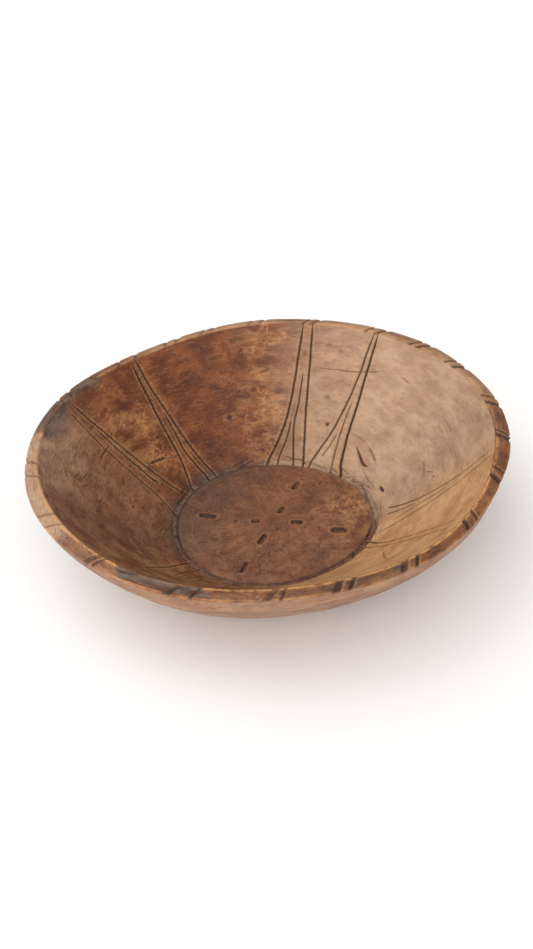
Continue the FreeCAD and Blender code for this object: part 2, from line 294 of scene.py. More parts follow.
def smooth_path(places):
    """More places, on a smooth curve through the given ones."""
    steps = 5
    p = np.array(places, float)
    p = np.concatenate([2.0 * p[:1] - p[1:2], p, 2.0 * p[-1:] - p[-2:-1]])
    out = []
    for a, b, c, d in zip(p[:-3], p[1:-2], p[2:-1], p[3:]):
        for k in np.arange(steps) / steps:
            bend = 2.0 * a - 5.0 * b + 4.0 * c - d + k * (3.0 * (b - c) + d - a)
            out.append(b + 0.5 * k * (c - a + k * bend))
    out.append(p[-2])
    return np.array(out)


def stroke(a, b, points, half):
    """How far inside a stroke along the points each place (a, b) is: 1 on its middle, 0 outside."""
    taper = 0.12
    best = np.full(len(a), 1e9)
    along = np.zeros(len(a))
    steps = len(points) - 1
    for k in range(steps):
        (a0, b0), (a1, b1) = points[k], points[k + 1]
        da, db = a1 - a0, b1 - b0
        t = np.clip(((a - a0) * da + (b - b0) * db) / max(da * da + db * db, 1e-9), 0.0, 1.0)
        d = np.hypot(a - a0 - t * da, b - b0 - t * db)
        closer = d < best
        best = np.where(closer, d, best)
        along = np.where(closer, (k + t) / steps, along)
    ends = 0.35 + 0.65 * ease(np.minimum(along, 1.0 - along), 0.0, taper)
    return np.clip(1.0 - best / (half * ends), 0.0, 1.0)


# ---- outline and profile --------------------------------------------------------------------------
def lobed(lobes, theta):
    return 1.0 + sum(k * np.cos(n * (theta - p) * RAD) for n, k, p in lobes)


def bowed(start, end, sag, count):
    """Places along a line from start to end, bowed down and outward by sag at its middle."""
    t = np.linspace(0.0, 1.0, count)
    dr, dz = end[0] - start[0], end[1] - start[1]
    length = math.hypot(dr, dz)
    bow = 4.0 * sag * t * (1.0 - t)
    return np.stack([start[0] + dr * t + bow * dz / length, start[1] + dz * t - bow * dr / length, t], 1)


def corner(before, at, after, reach, count):
    """A worn corner: a short curve that starts and ends the given reach away from it."""
    a = np.array(at) + (np.array(before) - at) / math.dist(before, at) * reach
    b = np.array(at) + (np.array(after) - at) / math.dist(after, at) * reach
    t = np.linspace(0.0, 1.0, count)[:, None]
    return (1 - t) ** 2 * a + 2 * t * (1 - t) * np.array(at) + t**2 * b


FOOT, OUTSIDE, BAND, RIM, WALL, RING, FLOOR = range(7)
RING_OUT, RING_TOP = FLOOR_R + RING_W, FLOOR_Z + 1.0
SHOULDER = (RIM_R - BAND_LEAN, HEIGHT - RIM_DROP - BAND_H)
RIM_EDGE = (RIM_R, HEIGHT - RIM_DROP)
LIP = (LIP_R, HEIGHT)
FOOT_EDGE = (BASE_R + BASE_SOFT, BASE_SOFT * 0.7)
WALL_END = (RING_OUT, RING_TOP)
WALL_LENGTH = math.dist(LIP, WALL_END)
OUTSIDE_LENGTH = math.dist(FOOT_EDGE, SHOULDER)


def profile():
    """Every ring of the mesh: r, z, part of the bowl, share of the wall's height, shares of the foot's,
    rim's, floor's and lip's outlines, shift along X and number of points."""
    rings = []

    def add(places, part, share, weights, shift, count):
        for place, s, w, x in zip(places, share, weights, shift):
            n = count(place[0]) if callable(count) else count
            rings.append((place[0], place[1], part, s, *w, x, n))

    def plain(places, part, w, shift, count):
        n = len(places)
        add(places, part, [0.0] * n, [w] * n, [shift] * n, count)

    def halved(spacing):
        def count(r):
            n = RING_POINTS // 2
            while n > 15 and 2.0 * math.pi * r / n < spacing / 2.0:
                n //= 2
            return n
        return count

    base, outer, floor, lip = np.eye(4)
    foot_r = np.concatenate([np.geomspace(1.2, 12.0, 10)[:-1], np.arange(12.0, BASE_R + 0.1, 0.9)])
    plain([(r, 0.0) for r in foot_r], FOOT, base, 0.0, halved(1.6))
    plain([(BASE_R + 0.7, 0.25)], FOOT, base, 0.0, RING_POINTS // 2)
    wall = bowed(FOOT_EDGE, SHOULDER, OUTER_SAG, 128)[:-1]
    add(wall[:, :2], OUTSIDE, wall[:, 2], [(1 - t, t, 0.0, 0.0) for t in wall[:, 2]], [0.0] * len(wall),
        RING_POINTS // 2)
    before = tuple(wall[-1, :2])
    plain(corner(before, SHOULDER, RIM_EDGE, 0.9, 5), BAND, outer, 0.0, RING_POINTS)
    band = np.linspace(0.16, 0.84, 14)[:, None]
    plain(np.array(SHOULDER) * (1 - band) + np.array(RIM_EDGE) * band, BAND, outer, 0.0, RING_POINTS)
    plain(corner(SHOULDER, RIM_EDGE, LIP, 1.3, 6), RIM, outer, 0.0, RING_POINTS)
    t = np.linspace(0.18, 0.82, 16)
    top = np.array(RIM_EDGE) * (1 - t[:, None]) + np.array(LIP) * t[:, None]
    top[:, 1] += 0.35 * np.sin(math.pi * (t - 0.18) / 0.64)
    add(top, RIM, [0.0] * len(t), [(0.0, 1 - k, 0.0, k) for k in t], [0.0] * len(t), RING_POINTS)
    plain(corner(RIM_EDGE, LIP, WALL_END, 1.1, 6), RIM, lip, 0.0, RING_POINTS)
    wall = bowed(WALL_END, LIP, INNER_SAG, 180)[-4::-1]
    h = wall[:, 2]
    add(wall[:, :2], WALL, h, [(0.0, 0.0, 1 - k, k) for k in h], FOOT_SHIFT * (1 - h), RING_POINTS)
    t = np.linspace(0.0, 1.0, 13)[1:]
    ring_r = RING_OUT - RING_W * t
    ring_z = RING_TOP - t * (RING_TOP - FLOOR_Z) - RING_DEPTH * np.sin(math.pi * t**0.8)
    n = len(t)
    add(np.stack([ring_r, ring_z], 1), RING, -t * RING_W / WALL_LENGTH, [floor] * n, [FOOT_SHIFT] * n,
        RING_POINTS)
    floor_r = np.concatenate([np.arange(FLOOR_R - 0.45, 6.0, -0.5), np.geomspace(6.0, 0.6, 8)])
    plain([(r, FLOOR_Z) for r in floor_r], FLOOR, floor, FOOT_SHIFT, halved(0.85))
    return np.array(rings)


def ring_angles():
    """The angles of a full ring's points, closer together where the engraved fans are."""
    fine = np.linspace(0.0, TURN, 7201)
    weight = 1.0 + sum(1.5 * np.exp(-(turned(fine - m) / 5.0) ** 2) for m in FAN_MIDDLES)
    total = np.concatenate([[0.0], np.cumsum((weight[1:] + weight[:-1]) / 2.0)])
    return np.interp(np.arange(RING_POINTS) / RING_POINTS * total[-1], total, fine)


def rim_centre():
    """The middle of the rim outline's box, which the CAD model puts at the origin."""
    theta = np.arange(1440) / 4.0
    r = RIM_R * lobed(OUTER_LOBES, theta)
    x, y = r * np.cos(theta * RAD), r * np.sin(theta * RAD)
    return (x.min() + x.max()) / 2.0, (y.min() + y.max()) / 2.0


# ---- relief and masks -----------------------------------------------------------------------------
def level_of(s):
    """0 at the band's upper edge and 1 at its lower edge."""
    level = (RIM_EDGE[1] - s.flat_z) / (RIM_EDGE[1] - SHOULDER[1])
    return np.clip(level, 0.0, 1.0)


class Surface:
    """Every point of the bowl's mesh: where it is, which part it is on, and what its masks say."""

    # pale, honey and rose are partly painted sheen and light; the mask of rubbed edges also holds painted
    # highlights, and cut holds painted shade in the floor's slots.
    MASKS = ("cut", "scorch", "wear", "pale", "honey", "dark", "spot", "ochre", "rose")

    def __init__(self):
        rows = profile()
        angles = ring_angles()
        tangent = np.gradient(rows[:, :2], axis=0)
        tangent /= np.linalg.norm(tangent, axis=1)[:, None]
        self.counts = rows[:, 9].astype(int)
        step = [RING_POINTS // n for n in self.counts]
        self.theta = np.concatenate([angles[::s] for s in step])

        def repeat(values):
            return np.repeat(values, self.counts)

        r, z = repeat(rows[:, 0]), repeat(rows[:, 1])
        self.part, self.share = repeat(rows[:, 2]).astype(int), repeat(rows[:, 3])
        # The band's lower edge rises and falls, and the outer wall follows it.
        self.flat_z = z
        sway = np.where(self.on(BAND, RIM), level_of(self), np.where(self.on(OUTSIDE), self.share**2, 0.0))
        z = z - sway * BAND_H * (lobed(BAND_LOBES, self.theta) - 1.0)
        outlines = (BASE_LOBES, OUTER_LOBES, FLOOR_LOBES, INNER_LOBES)
        blend = sum(repeat(rows[:, 4 + k]) * lobed(lobes, self.theta) for k, lobes in enumerate(outlines))
        self.r, self.flat_r, self.z = r * blend, r, z
        self.cos, self.sin = np.cos(self.theta * RAD), np.sin(self.theta * RAD)
        self.p = np.stack([repeat(rows[:, 8]) + self.r * self.cos, self.r * self.sin, z], 1)
        out_r, out_z = repeat(tangent[:, 1]), repeat(-tangent[:, 0])
        self.normal = np.stack([out_r * self.cos, out_r * self.sin, out_z], 1)
        self.relief = np.zeros(len(r))
        self.mask = {name: np.zeros(len(r)) for name in self.MASKS}
        self.halo = np.zeros(len(r))       # grime beside the engraved lines

    def on(self, *parts):
        return np.isin(self.part, parts)

    def darker(self, name, where, values):
        self.mask[name][where] = np.maximum(self.mask[name][where], values)


def hand_made_unevenness(s):
    """The slow waves of a surface that was cut by eye, and the marks of the tools that cut it."""
    def wall_r(place):
        return RING_OUT + (LIP_R - RING_OUT) * np.clip(place / WALL_LENGTH, 0.0, 1.0)

    def outside_r(place):
        return BASE_R + (RIM_R - BASE_R) * np.clip(place / OUTSIDE_LENGTH, 0.0, 1.0)

    def disc_r(place):
        return np.maximum(place, 4.0)

    s.relief += 0.35 * noise(s.p, 34.0, 3) * (s.part != FOOT)
    s.relief += 0.10 * noise(s.p, 11.0, 5) * (s.part != FOOT)

    w = s.on(WALL)
    v = s.share[w] * WALL_LENGTH
    d, random = tool_cells(s.theta[w], s.r[w], v, 11.0, 6.5, 21, wall_r)
    fade = ease(s.share[w], 0.0, 0.06) * (1.0 - ease(s.share[w], 0.95, 1.0))
    s.relief[w] -= (0.30 * (0.4 + 0.8 * random) * (1.0 - np.minimum(d, 1.0) ** 2) - 0.12) * fade
    s.mask["spot"][w] = (1.0 - ease(d, 0.1, 0.75)) * ease(random, 0.35, 0.9)

    w = s.on(OUTSIDE)
    v = s.share[w] * OUTSIDE_LENGTH
    d, random = tool_cells(s.theta[w], s.r[w], v, 17.0, 11.0, 22, outside_r)
    fade = ease(s.share[w], 0.0, 0.05)
    s.relief[w] -= (0.62 * (0.4 + 0.8 * random) * (1.0 - np.minimum(d, 1.0) ** 2) - 0.2) * fade
    s.mask["spot"][w] = (1.0 - ease(d, 0.1, 0.75)) * ease(random, 0.5, 0.9) * 0.6

    w = s.on(FLOOR)
    d, random = tool_cells(s.theta[w], s.r[w], s.r[w], 16.0, 9.0, 23, disc_r)
    s.relief[w] -= 0.10 * random * (1.0 - np.minimum(d, 1.0) ** 2)
    s.mask["spot"][w] = (1.0 - ease(d, 0.1, 0.8)) * ease(random, 0.6, 0.95) * 0.5

    w = s.on(FOOT)
    d, random = tool_cells(s.theta[w], s.r[w], s.r[w], 15.0, 7.0, 24, disc_r)
    fade = 1.0 - ease(s.flat_r[w], 58.0, 64.0)
    s.relief[w] -= 0.28 * random * (1.0 - np.minimum(d, 1.0) ** 2) * fade


def carve_stroke(s, where, a, b, points, half, depth, dark):
    """Cuts one stroke into the points picked by where, whose surface places are a and b."""
    inside = stroke(a, b, points, half)
    hit = inside > 0.0
    if not hit.any():
        return
    index = np.flatnonzero(where)[hit]
    s.relief[index] -= depth * inside[hit] ** 0.75
    tone = dark * ease(inside[hit], 0.0, 0.55)
    s.mask["cut"][index] = np.maximum(s.mask["cut"][index], tone)


def engrave_wall(s):
    """The engraved fans, the knife slips and the dents of the inner wall."""
    wall = s.on(WALL, RING)
    theta, share, r = s.theta, s.share, s.r
    rng = np.random.default_rng(8)

    def cut(places, upper, lower, depth, dark, taper):
        middle = (places[:, 0].min() + places[:, 0].max()) / 2.0
        reach = (places[:, 0].max() - places[:, 0].min()) / 2.0 + 3.0
        window = wall & (np.abs(turned(theta - middle)) < reach)
        window &= (share > places[:, 1].min() - 0.03) & (share < places[:, 1].max() + 0.03)
        window = np.flatnonzero(window)
        radius, b = r[window], share[window] * WALL_LENGTH
        a = turned(theta[window] - middle) * RAD
        place_a, place_b = turned(places[:, 0] - middle) * RAD, places[:, 1] * WALL_LENGTH
        last = len(places) - 1
        for k in range(last):
            near = (b > min(place_b[k:k + 2]) - 4.0) & (b < max(place_b[k:k + 2]) + 4.0)
            index = window[near]
            # Angles become lengths at each point's own radius, so that a line keeps its width.
            da, db = (place_a[k + 1] - place_a[k]) * radius[near], place_b[k + 1] - place_b[k]
            pa, pb = (a[near] - place_a[k]) * radius[near], b[near] - place_b[k]
            t = np.clip((pa * da + pb * db) / np.maximum(da * da + db * db, 1e-9), 0.0, 1.0)
            along = (k + t) / last
            pointed = 0.3 + 0.7 * ease(np.minimum(along, 1.0 - along), 0.0, taper)
            half = (upper + (lower - upper) * along) * pointed
            d = np.hypot(pa - t * da, pb - t * db) / half
            inside = np.clip(1.0 - d, 0.0, 1.0)
            depths[index] = np.maximum(depths[index], depth * np.sqrt(np.clip(1.0 - d * d, 0.0, 1.0)))
            tones[index] = np.maximum(tones[index], dark * ease(inside, 0.0, 0.45))
            s.halo[index] = np.maximum(s.halo[index], 0.55 * dark * np.exp(-((d / 1.9) ** 2)))
            edges[index] = np.maximum(edges[index], 0.30 * dark * bump(d, 2.3, 0.6))

    depths, tones, edges = (np.zeros(len(theta)) for _ in range(3))
    for upper, lower, dark, places in FAN_LINES:
        if places[-1][1] < 0.03:
            # The line runs on over the sunk ring to the floor's edge.
            (a0, h0), (a1, h1) = places[-2:]
            places += ((a1 + (a1 - a0) * 0.045 / (h0 - h1), h1 - 0.045),)
        path = smooth_path(places)
        path[1:-1, 0] += rng.normal(0.0, 0.05, len(path) - 2)
        cut(path, upper, lower, LINE_DEPTH * (0.7 + 0.4 * dark), dark, 0.06)
    for half, depth, dark, places in WALL_MARKS:
        cut(smooth_path(places), half, half, depth, dark, 0.25)
    s.relief -= depths
    s.mask["cut"] = np.maximum(s.mask["cut"], tones)
    s.mask["wear"] = np.maximum(s.mask["wear"], edges * (1.0 - tones))


def carve_floor(s):
    """Chisel slots and small marks in the floor, with painted shade in the slots and a painted highlight
    round them.
    """
    w = s.on(FLOOR)
    x, y = s.p[w, 0], s.p[w, 1]
    index = np.flatnonzero(w)
    for cx, cy, length, width, direction in SLOTS:
        c, n = math.cos(direction * RAD), math.sin(direction * RAD)
        a = ((x - cx) * c + (y - cy) * n) / (length / 2.0)
        b = (-(x - cx) * n + (y - cy) * c) / (width / 2.0)
        edge = (np.abs(a) ** 3.5 + np.abs(b) ** 3.0) ** 0.3
        hit = edge < 1.5
        deep = (1.0 - ease(edge, 0.72, 1.06)) * (0.75 + 0.25 * np.cos(a * 2.0))
        s.relief[index[hit]] -= SLOT_DEPTH * deep[hit]
        s.relief[index[hit]] += 0.15 * bump(edge[hit], 1.15, 0.12)
        # The dark outline round each slot is partly the cut's own dark and partly painted shade; the darker
        # inside of the slot and the extra dark on its back side, which faces away from the light, are
        # painted shade in the recess.
        side = 0.5 + 0.5 * np.tanh(3.0 * b)
        line = bump(edge, 0.92, 0.26) * (0.20 + 0.42 * side) + 0.40 * (1.0 - ease(edge, 0.80, 1.05))
        s.darker("cut", index[hit], np.clip(line[hit], 0.0, 0.9))
        # The pale ring just outside each slot is a painted highlight on its edge.
        s.darker("wear", index[hit], 0.30 * bump(edge[hit], 1.28, 0.15))
    for points, half, depth, dark in FLOOR_MARKS:
        carve_stroke(s, w, x, y, points, half, depth, dark)


def carve_ring(s):
    """The hacked ring between the wall and the floor: short knife cuts that follow it, and soot."""
    rng = np.random.default_rng(12)
    w = s.on(RING, FLOOR, WALL) & (np.abs(s.flat_r - FLOOR_R - 2.0) < 8.0)
    place = s.theta[w]
    radius = s.flat_r[w]
    for _ in range(150):
        middle, long = rng.uniform(0.0, TURN), rng.uniform(4.0, 13.0)
        lean = rng.normal(0.0, 1.2)
        at = FLOOR_R + rng.uniform(0.2, RING_W + 2.2)
        half, depth, dark = rng.uniform(0.25, 0.6), rng.uniform(0.15, 0.5), rng.uniform(0.25, 0.8)
        reach = long / 2.0
        a = turned(place - middle) * RAD * FLOOR_R
        near = np.abs(a) < reach + 2.0
        picked = np.zeros(len(s.theta), bool)
        picked[np.flatnonzero(w)[near]] = True
        ends = ((-reach, at - lean), (reach, at + lean))
        carve_stroke(s, picked, a[near], radius[near], ends, half, depth, dark)
    ring = s.on(RING)
    rough = fractal(s.p, 5.0, 31)
    s.relief[ring] += 0.25 * rough[ring]
    edge = bump(s.flat_r, FLOOR_R + 0.5, 0.8) * s.on(RING, FLOOR)
    strong = 0.40 + 0.45 * arc_mask(s.theta, 95.0, 205.0, 40.0) + 0.2 * rough
    s.darker("cut", s.on(RING, FLOOR), (edge * np.clip(strong, 0.0, 1.0))[s.on(RING, FLOOR)])


def notch_rim(s):
    """Pairs of slanting notches across the rim, burnt dark, each with a painted highlight on one side."""
    w = s.on(RIM, BAND, WALL) & (s.z > HEIGHT - 9.0) & (s.flat_r > LIP_R - 3.5)
    index = np.flatnonzero(w)
    rng = np.random.default_rng(4)
    middle_r = (RIM_R + LIP_R) / 2.0
    slope = math.tan(NOTCH_SLANT * RAD)
    r, theta, z = s.flat_r[w], s.theta[w], s.z[w]
    fade = ease(z, RIM_EDGE[1] - 3.4, RIM_EDGE[1] - 0.6)
    wobble = noise(s.p[w], 2.5, 61)
    fade *= np.where(s.part[w] == WALL, 1.0 - ease(LIP_R - r, 0.2, 2.0), 1.0)
    for pair, spacing, dark in NOTCH_PAIRS:
        for side, width in zip((-0.5, 0.5), NOTCH_HALVES):
            middle = pair + side * spacing
            lean = slope * rng.uniform(0.7, 1.2)
            across = turned(theta - middle) * RAD * middle_r - (r - middle_r) * lean
            across = across * math.cos(math.atan(lean)) + rng.normal(0.0, 0.25) + 0.25 * wobble
            half = width * rng.uniform(0.85, 1.1) * (0.75 + 0.25 * dark)
            inside = np.clip(1.0 - (across / half) ** 2, 0.0, 1.0) * fade
            depth = NOTCH_DEPTH * rng.uniform(0.8, 1.1) * (0.45 + 0.55 * dark)
            s.relief[index] -= depth * inside**0.8
            s.darker("cut", index, dark * ease(inside, 0.05, 0.7) * (0.85 + 0.15 * wobble))
            s.darker("scorch", index, 0.35 * dark * bump(across, 0.0, half * 1.8) * fade)
            # A pale stripe on the anticlockwise side of each notch only: painted highlight, where the light
            # from the left falls on the notch's wall.
            s.darker("wear", index, 0.45 * dark * bump(across, half * 1.25, half * 0.3) * fade)


def scorch_and_wear(s):
    """Burnt patches on the rim, and rubbed pale edges."""
    theta, share = s.theta, s.share
    cloudy, fine = fractal(s.p, 16.0, 41), fractal(s.p, 4.0, 45)
    rim, wall, band = s.on(RIM), s.on(WALL), s.on(BAND)
    across = np.clip((RIM_R - s.flat_r) / (RIM_R - LIP_R), 0.0, 1.0)

    # Front left: a sharp-edged patch from the lip nearly to the outer edge, cut a little lower.
    patch = arc_mask(theta + 3.0 * across, 234.5, 256.5, 1.5)
    patch *= ease(across + 0.05 * cloudy + 0.04 * fine, 0.10, 0.22) * rim
    s.relief -= 0.55 * patch
    s.darker("scorch", slice(None), patch * (0.80 + 0.16 * cloudy + 0.16 * fine))
    # Left back: a patch over the whole rim that runs down the wall.
    down = np.where(wall, (1.0 - share) * WALL_LENGTH, 0.0)
    reach = 15.0 * arc_mask(theta, 157.0, 170.0, 8.0) + 3.0 * arc_mask(theta, 132.0, 171.0, 12.0)
    run = (1.0 - ease(down + 2.0 * fine, reach * 0.15, reach + 3.0)) * wall
    run = run * arc_mask(theta, 140.0, 171.0, 3.0)
    top = arc_mask(theta + fine, 141.0, 169.3, 2.0) * rim * (0.45 + 0.45 * across)
    top += 0.2 * arc_mask(theta, 128.0, 142.0, 9.0) * rim * ease(across, 0.5, 0.9)
    s.darker("scorch", slice(None), np.clip(run + top, 0.0, 1.0) * (0.85 + 0.15 * cloudy + 0.1 * fine))
    # Soot in the ring round the floor, on its left and back, and a grey film to the right of it.
    ring = bump(s.flat_r, FLOOR_R + 2.5, 4.0) * s.on(RING, FLOOR, WALL)
    soot = 0.82 * arc_mask(theta, 108.0, 204.0, 36.0) + 0.28 * arc_mask(theta, -20.0, 112.0, 30.0)
    s.darker("scorch", slice(None), ring * soot * np.clip(0.8 + 0.5 * cloudy + 0.4 * fine, 0.0, 1.3))

    # Worn edges.
    lip = bump(s.flat_r, LIP_R + 0.4, 1.1) * (rim | wall) * (s.z > HEIGHT - 3.0)
    strong = 0.45 + 0.45 * arc_mask(theta, 200.0, 345.0, 30.0)
    s.darker("wear", slice(None), lip * np.clip(strong + 0.35 * cloudy + 0.25 * fine, 0.0, 1.0))
    edge = bump(s.flat_r, RIM_R - 0.5, 0.7) * rim
    s.darker("wear", slice(None), edge * np.clip(0.25 + 0.3 * cloudy + 0.2 * fine, 0.0, 1.0))
    shoulder = ease(level_of(s), 0.86, 1.0) * band
    s.darker("wear", slice(None), shoulder * np.clip(0.25 + 0.4 * cloudy, 0.0, 1.0))


def colour_zones(s):
    """The slow changes of colour over the bowl, partly the wood's own tone and partly painted light:
    the pale, rose and honey zones paint the studio's sheen and the light on the walls that face it.
    """
    theta, share = s.theta, s.share
    cloudy, broad = fractal(s.p, 16.0, 41), fractal(s.p, 45.0, 43, 2)
    rim, wall, floor = s.on(RIM), s.on(WALL), s.on(FLOOR)
    outside = s.on(BAND, OUTSIDE, FOOT)
    warp = theta + 5.0 * cloudy

    # The pale zone is partly the wood's own tone and partly painted light: the washed-out sheen of the
    # bright studio on the back-right wall, and the light on the walls and rim that face the lamps. On the
    # outside it paints the light thrown up by the floor.
    pale = 0.95 * arc_mask(warp, -24.0, 68.0, 26.0) + 0.45 * arc_mask(warp, 66.0, 84.0, 18.0)
    pale += 0.60 * arc_mask(warp, 158.0, 190.0, 14.0) * ease(share + 0.2 * cloudy, 0.55, 0.95)
    s.mask["pale"][wall] = np.clip(pale, 0.0, 1.0)[wall]
    on_rim = arc_mask(theta, 168.0, 214.0, 14.0) + 0.52 * arc_mask(theta, 8.0, 128.0, 16.0)
    s.mask["pale"][rim] = np.clip(on_rim + 0.3 * cloudy * (on_rim > 0.05), 0.0, 1.0)[rim]
    s.mask["pale"][outside] = 0.45

    # The honey zone is partly painted light: the front and front-right inner wall faces the lamps at the
    # back-left, and its colour is made lighter to stand for that light.
    honey = arc_mask(warp, 268.0, 350.0, 30.0)
    s.mask["honey"][wall] = np.clip(honey, 0.0, 1.0)[wall]
    s.mask["honey"][rim] = np.clip(0.05 + 0.2 * cloudy, 0.0, 1.0)[rim]

    ochre = 0.75 * arc_mask(warp, 80.0, 97.0, 12.0) * ease(1.2 - share + cloudy, 0.0, 0.5)
    ochre = np.maximum(ochre, arc_mask(theta, 131.0, 153.0, 16.0) * bump(share, 0.5, 0.28))
    ochre = np.maximum(ochre, 0.65 * arc_mask(warp, 206.0, 266.0, 22.0))
    s.mask["ochre"][wall] = np.clip(ochre, 0.0, 1.0)[wall]
    s.mask["ochre"][rim] = (0.25 * arc_mask(theta, 205.0, 272.0, 20.0) + 0.15)[rim]
    warm = bump(np.hypot(s.p[:, 0] - 47.0, s.p[:, 1] - 10.0), 0.0, 12.0)
    x, y = s.p[:, 0], s.p[:, 1]
    s.mask["ochre"][floor] = np.clip(0.9 * warm + 0.6 * ease(x, 28.0, 62.0), 0.0, 1.0)[floor]

    # The rose zone is painted sheen: the greyish-pink sheen of the bright studio on the floor, the left
    # wall and the left rim. On the outside it paints the light thrown up by the floor.
    rose = arc_mask(warp, 158.0, 214.0, 22.0) * (0.75 + 0.3 * broad)
    s.mask["rose"][wall] = np.clip(rose, 0.0, 1.0)[wall]
    inner = floor | s.on(RING)
    s.mask["rose"][inner] = np.clip(0.50 + 0.6 * broad - 0.004 * x - 0.004 * y, 0.0, 1.0)[inner]
    s.mask["rose"][rim] = (0.85 * arc_mask(theta, 168.0, 240.0, 18.0))[rim]
    s.mask["rose"][outside] = 0.75

    dark = 0.18 * arc_mask(warp, 186.0, 240.0, 30.0) * (0.8 + 0.5 * cloudy)
    foot_left = arc_mask(theta, 108.0, 235.0, 40.0) * (1.0 - ease(share, 0.0, 0.14))
    dark = np.maximum(dark, foot_left * (0.45 + 0.4 * cloudy))
    low_front = arc_mask(theta, 256.0, 306.0, 16.0) * (1.0 - ease(share, 0.05, 0.45))
    dark = np.maximum(dark, 0.26 * low_front)
    top_left = arc_mask(theta, 176.0, 240.0, 30.0) * ease(share, 0.80, 1.0)
    dark = np.maximum(dark, top_left * (0.15 + 0.2 * cloudy))
    s.mask["dark"][wall] = np.clip(dark, 0.0, 1.0)[wall]
    s.mask["dark"][floor] = np.clip(0.75 * ease(0.75 * y - x, 14.0, 74.0) + 0.2 * cloudy, 0.0, 1.0)[floor]
    on_ring = 0.35 + 0.3 * cloudy - 0.35 * arc_mask(theta, 8.0, 92.0, 20.0)
    s.mask["dark"][s.on(RING)] = np.clip(on_ring, 0.0, 1.0)[s.on(RING)]
    # The ring's back-right is pale like the wall above it: partly painted sheen and light.
    s.mask["pale"][s.on(RING)] = (0.85 * arc_mask(theta, -10.0, 92.0, 16.0))[s.on(RING)]
    blots = ease(fractal(s.p, 7.0, 71), 0.02, 0.30) * arc_mask(theta, 252.0, 368.0, 16.0)
    s.mask["dark"][rim] = np.clip(0.55 * blots + 0.40 * arc_mask(theta, 266.0, 316.0, 20.0), 0.0, 1.0)[rim]
    s.mask["dark"] = np.maximum(s.mask["dark"], s.halo)

    red = arc_mask(theta, 93.0, 150.0, 22.0)
    s.mask["spot"] = np.where(wall, s.mask["spot"] * (0.25 + 0.75 * red), s.mask["spot"])


# ---- mesh -----------------------------------------------------------------------------------------
def mask_layers():
    """The mesh's colour layers, each with the three masks that it holds."""
    threes = [Surface.MASKS[k:k + 3] for k in range(0, len(Surface.MASKS), 3)]
    return [("_".join(names), names) for names in threes]


def faces_between(first, n, second, m):
    """Faces that join a ring of n points to the next one of m points, where m is n, 2n or n/2."""
    i = np.arange(min(n, m))
    j = (i + 1) % min(n, m)
    if n == m:
        return np.stack([first + i, first + j, second + j, second + i], 1), None
    fine = 2 * i
    after, last = fine + 1, (fine + 2) % max(n, m)
    if m > n:
        a, b = first + i, first + j
        fine, after, last = second + fine, second + after, second + last
        sides = ((a, after, fine), (a, b, after), (b, last, after))
    else:
        a, b = second + i, second + j
        fine, after, last = first + fine, first + after, first + last
        sides = ((fine, after, a), (after, b, a), (after, last, b))
    return None, np.concatenate([np.stack(t, 1) for t in sides])


def mesh_faces(counts):
    starts = np.concatenate([[0], np.cumsum(counts)])
    quads, triangles = [], []
    for k in range(len(counts) - 1):
        q, t = faces_between(starts[k], counts[k], starts[k + 1], counts[k + 1])
        if q is not None:
            quads.append(q)
        else:
            triangles.append(t)
    under, over = starts[-1], starts[-1] + 1
    i = np.arange(counts[0])
    triangles.append(np.stack([np.full(len(i), under), (i + 1) % len(i), i], 1))
    i = np.arange(counts[-1])
    ring = starts[-2]
    triangles.append(np.stack([ring + i, ring + (i + 1) % len(i), np.full(len(i), over)], 1))
    return np.concatenate(quads), np.concatenate(triangles)


def make_bowl():
    s = Surface()
    hand_made_unevenness(s)
    engrave_wall(s)
    carve_floor(s)
    carve_ring(s)
    notch_rim(s)
    scorch_and_wear(s)
    colour_zones(s)
    centre = rim_centre()
    p = s.p + s.normal * s.relief[:, None]
    p[:, 0] -= centre[0]
    p[:, 1] -= centre[1]
    p[:, 2] = np.maximum(p[:, 2], 0.0)
    last = s.counts[-1]
    first = s.counts[0]
    middles = np.array([p[:first].mean(0), p[-last:].mean(0)])
    p = np.concatenate([p, middles]) * MM
    quads, triangles = mesh_faces(s.counts)

    mesh = bpy.data.meshes.new("carved_bowl_wood")
    mesh.vertices.add(len(p))
    mesh.vertices.foreach_set("co", p.astype(np.float32).ravel())
    corners = np.concatenate([quads.ravel(), triangles.ravel()]).astype(np.int32)
    sizes = np.concatenate([np.full(len(quads), 4), np.full(len(triangles), 3)]).astype(np.int32)
    mesh.loops.add(len(corners))
    mesh.loops.foreach_set("vertex_index", corners)
    mesh.polygons.add(len(sizes))
    mesh.polygons.foreach_set("loop_start", np.concatenate([[0], np.cumsum(sizes)[:-1]]).astype(np.int32))
    mesh.update(calc_edges=True)
    mesh.polygons.foreach_set("use_smooth", np.ones(len(sizes), bool))
    for layer_name, names in mask_layers():
        values = np.ones((len(p), 4), np.float32)
        for axis, name in enumerate(names):
            m = np.clip(s.mask[name], 0.0, 1.0)
            values[:, axis] = np.concatenate([m, [m[:first].mean(), m[-last:].mean()]])
        layer = mesh.color_attributes.new(layer_name, "FLOAT_COLOR", "POINT")
        layer.data.foreach_set("color", values.ravel())
    add_bake_map(mesh, s, corners, sizes)
    mesh.validate()
    bowl = bpy.data.objects.new("carved_bowl_wood", mesh)
    bpy.context.scene.collection.objects.link(bowl)
    return bowl


